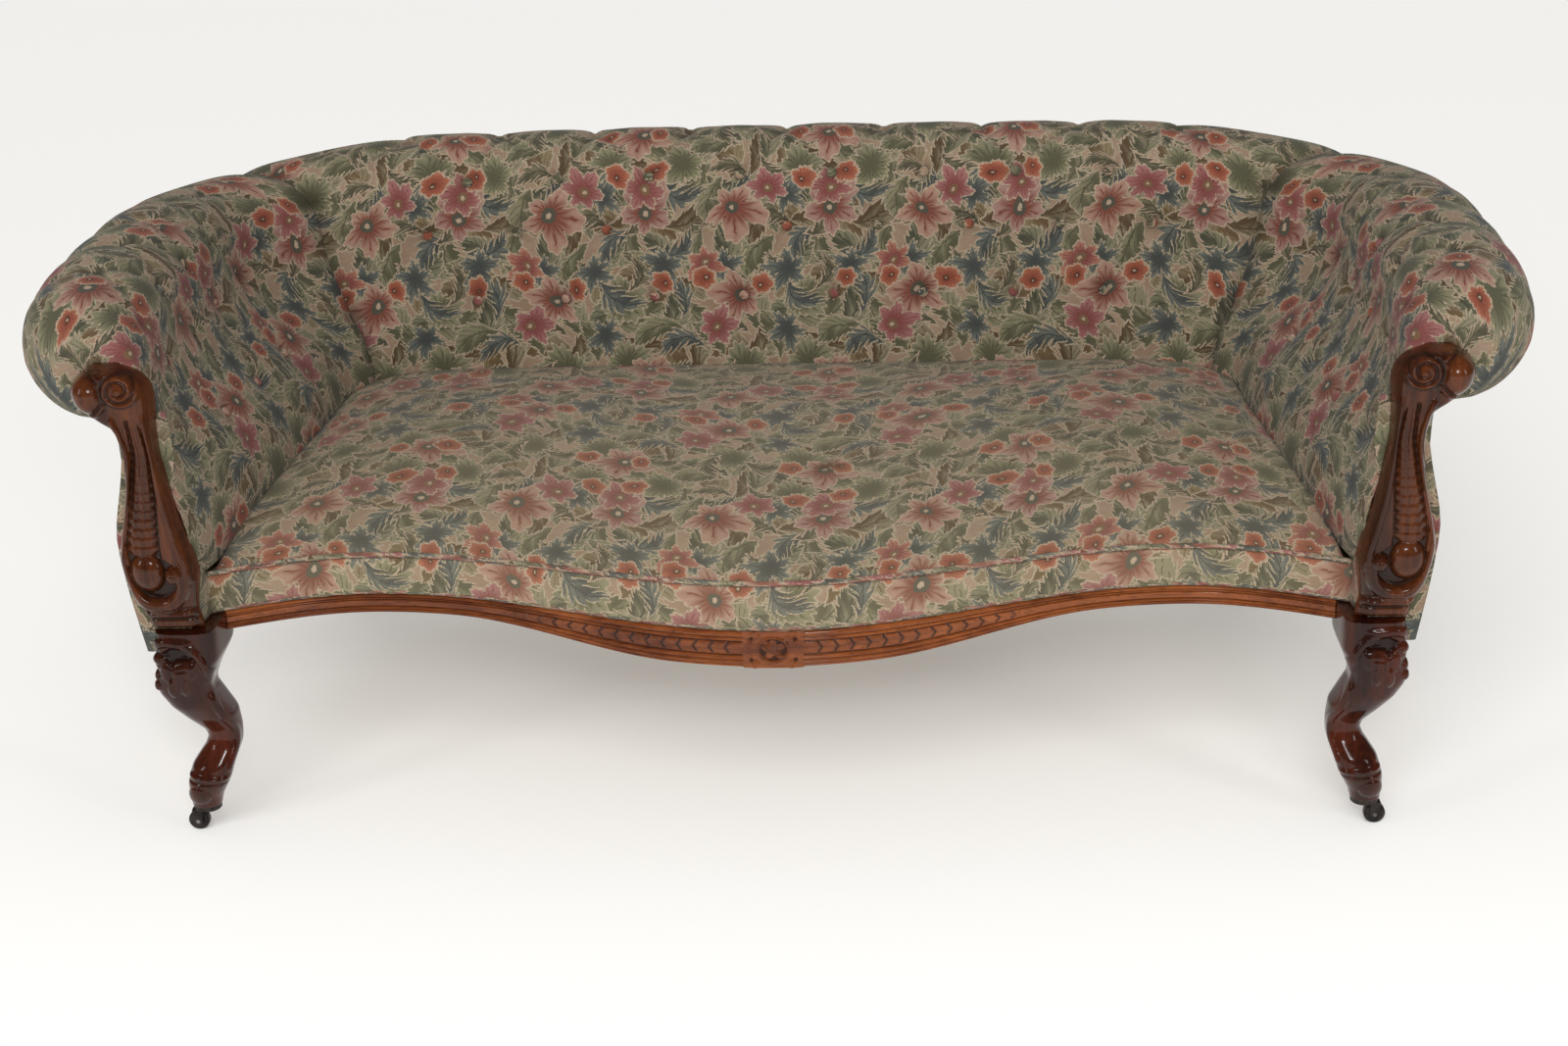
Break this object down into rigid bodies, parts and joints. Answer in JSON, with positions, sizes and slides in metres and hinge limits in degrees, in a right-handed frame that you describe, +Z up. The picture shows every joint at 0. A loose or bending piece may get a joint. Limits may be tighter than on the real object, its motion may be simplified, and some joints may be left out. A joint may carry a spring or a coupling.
{
  "type": "chesterfield sofa",
  "caption": "Sofa with rolled, buttoned arms and back in one sweep, a sprung seat with a serpentine front edge, carved show wood and swivel castors.",
  "frame": {"origin": "on the floor under the middle of the sofa: halfway across its width, halfway from the arm facings' fronts to the back of the roll, at the height where the castors stand", "axes": "+X along the sofa, to the right of someone who faces it; +Y from its front to its back; +Z up"},
  "size_m": [1.8038, 0.8593, 0.7186],
  "materials": {
    "back_fabric": "woven tapestry",
    "seat_fabric": "woven tapestry, faded",
    "piping": "woven tapestry",
    "show_wood": "french polished",
    "beech": "sawn",
    "jute": "plain woven",
    "steel": "drawn",
    "castor_iron": "dark"
  },
  "bodies": {
    "sofa": {"show_rail": "show_wood", "front_leg_left": "show_wood", "front_leg_right": "show_wood", "arm_facing_left": "show_wood", "arm_facing_right": "show_wood", "rear_leg_left": "show_wood", "rear_leg_right": "show_wood", "front_seat_rail": "beech", "side_seat_rail_left": "beech", "side_seat_rail_right": "beech", "rear_corner_rail_left": "beech", "rear_corner_rail_right": "beech", "back_seat_rail": "beech", "seat_stretcher": "beech", "corner_blocks": "beech", "corner_block_screws": "steel", "arm_stump_left": "beech", "arm_stump_right": "beech", "rear_post_left": "beech", "rear_post_right": "beech", "arm_top_rail_left": "beech", "arm_top_rail_right": "beech", "corner_top_rails": "beech", "back_top_rail": "beech", "back_uprights": "beech", "stuffing_rails": "beech", "seat_webbing": "jute", "seat_springs": "steel", "seat_hessian": "jute", "seat_pad": "seat_fabric", "seat_border": "seat_fabric", "seat_piping": "piping", "rail_piping": "piping", "arm_pad_left": "back_fabric", "arm_pad_right": "back_fabric", "back_pad": "back_fabric", "arm_buttons": "back_fabric", "back_buttons": "back_fabric", "outside_arm_left": "back_fabric", "outside_arm_right": "back_fabric", "outside_back": "back_fabric", "dust_cover": "jute", "castor_plate_front_left": "castor_iron", "castor_plate_front_right": "castor_iron", "castor_plate_rear_left": "castor_iron", "castor_plate_rear_right": "castor_iron"},
    "fork_front_left": {"castor_yoke_front_left": "castor_iron", "castor_axle_front_left": "steel"},
    "wheel_front_left": {"castor_wheel_front_left": "castor_iron"},
    "fork_front_right": {"castor_yoke_front_right": "castor_iron", "castor_axle_front_right": "steel"},
    "wheel_front_right": {"castor_wheel_front_right": "castor_iron"},
    "fork_rear_left": {"castor_yoke_rear_left": "castor_iron", "castor_axle_rear_left": "steel"},
    "wheel_rear_left": {"castor_wheel_rear_left": "castor_iron"},
    "fork_rear_right": {"castor_yoke_rear_right": "castor_iron", "castor_axle_rear_right": "steel"},
    "wheel_rear_right": {"castor_wheel_rear_right": "castor_iron"}
  },
  "joints": [
    {"name": "swivel_front_left", "type": "hinge", "parent": "sofa", "child": "fork_front_left", "pos_m": [-0.7172, -0.366, 0.032], "axis": [0, 0, 1], "continuous": true},
    {"name": "roll_front_left", "type": "hinge", "parent": "fork_front_left", "child": "wheel_front_left", "pos_m": [-0.7302, -0.366, 0.013], "axis": [0, 1, 0], "continuous": true},
    {"name": "swivel_front_right", "type": "hinge", "parent": "sofa", "child": "fork_front_right", "pos_m": [0.7172, -0.366, 0.032], "axis": [0, 0, 1], "continuous": true},
    {"name": "roll_front_right", "type": "hinge", "parent": "fork_front_right", "child": "wheel_front_right", "pos_m": [0.7302, -0.366, 0.013], "axis": [0, 1, 0], "continuous": true},
    {"name": "swivel_rear_left", "type": "hinge", "parent": "sofa", "child": "fork_rear_left", "pos_m": [-0.655, 0.334, 0.032], "axis": [0, 0, 1], "continuous": true},
    {"name": "roll_rear_left", "type": "hinge", "parent": "fork_rear_left", "child": "wheel_rear_left", "pos_m": [-0.655, 0.347, 0.013], "axis": [1, 0, 0], "continuous": true},
    {"name": "swivel_rear_right", "type": "hinge", "parent": "sofa", "child": "fork_rear_right", "pos_m": [0.655, 0.334, 0.032], "axis": [0, 0, 1], "continuous": true},
    {"name": "roll_rear_right", "type": "hinge", "parent": "fork_rear_right", "child": "wheel_rear_right", "pos_m": [0.655, 0.347, 0.013], "axis": [1, 0, 0], "continuous": true}
  ]
}
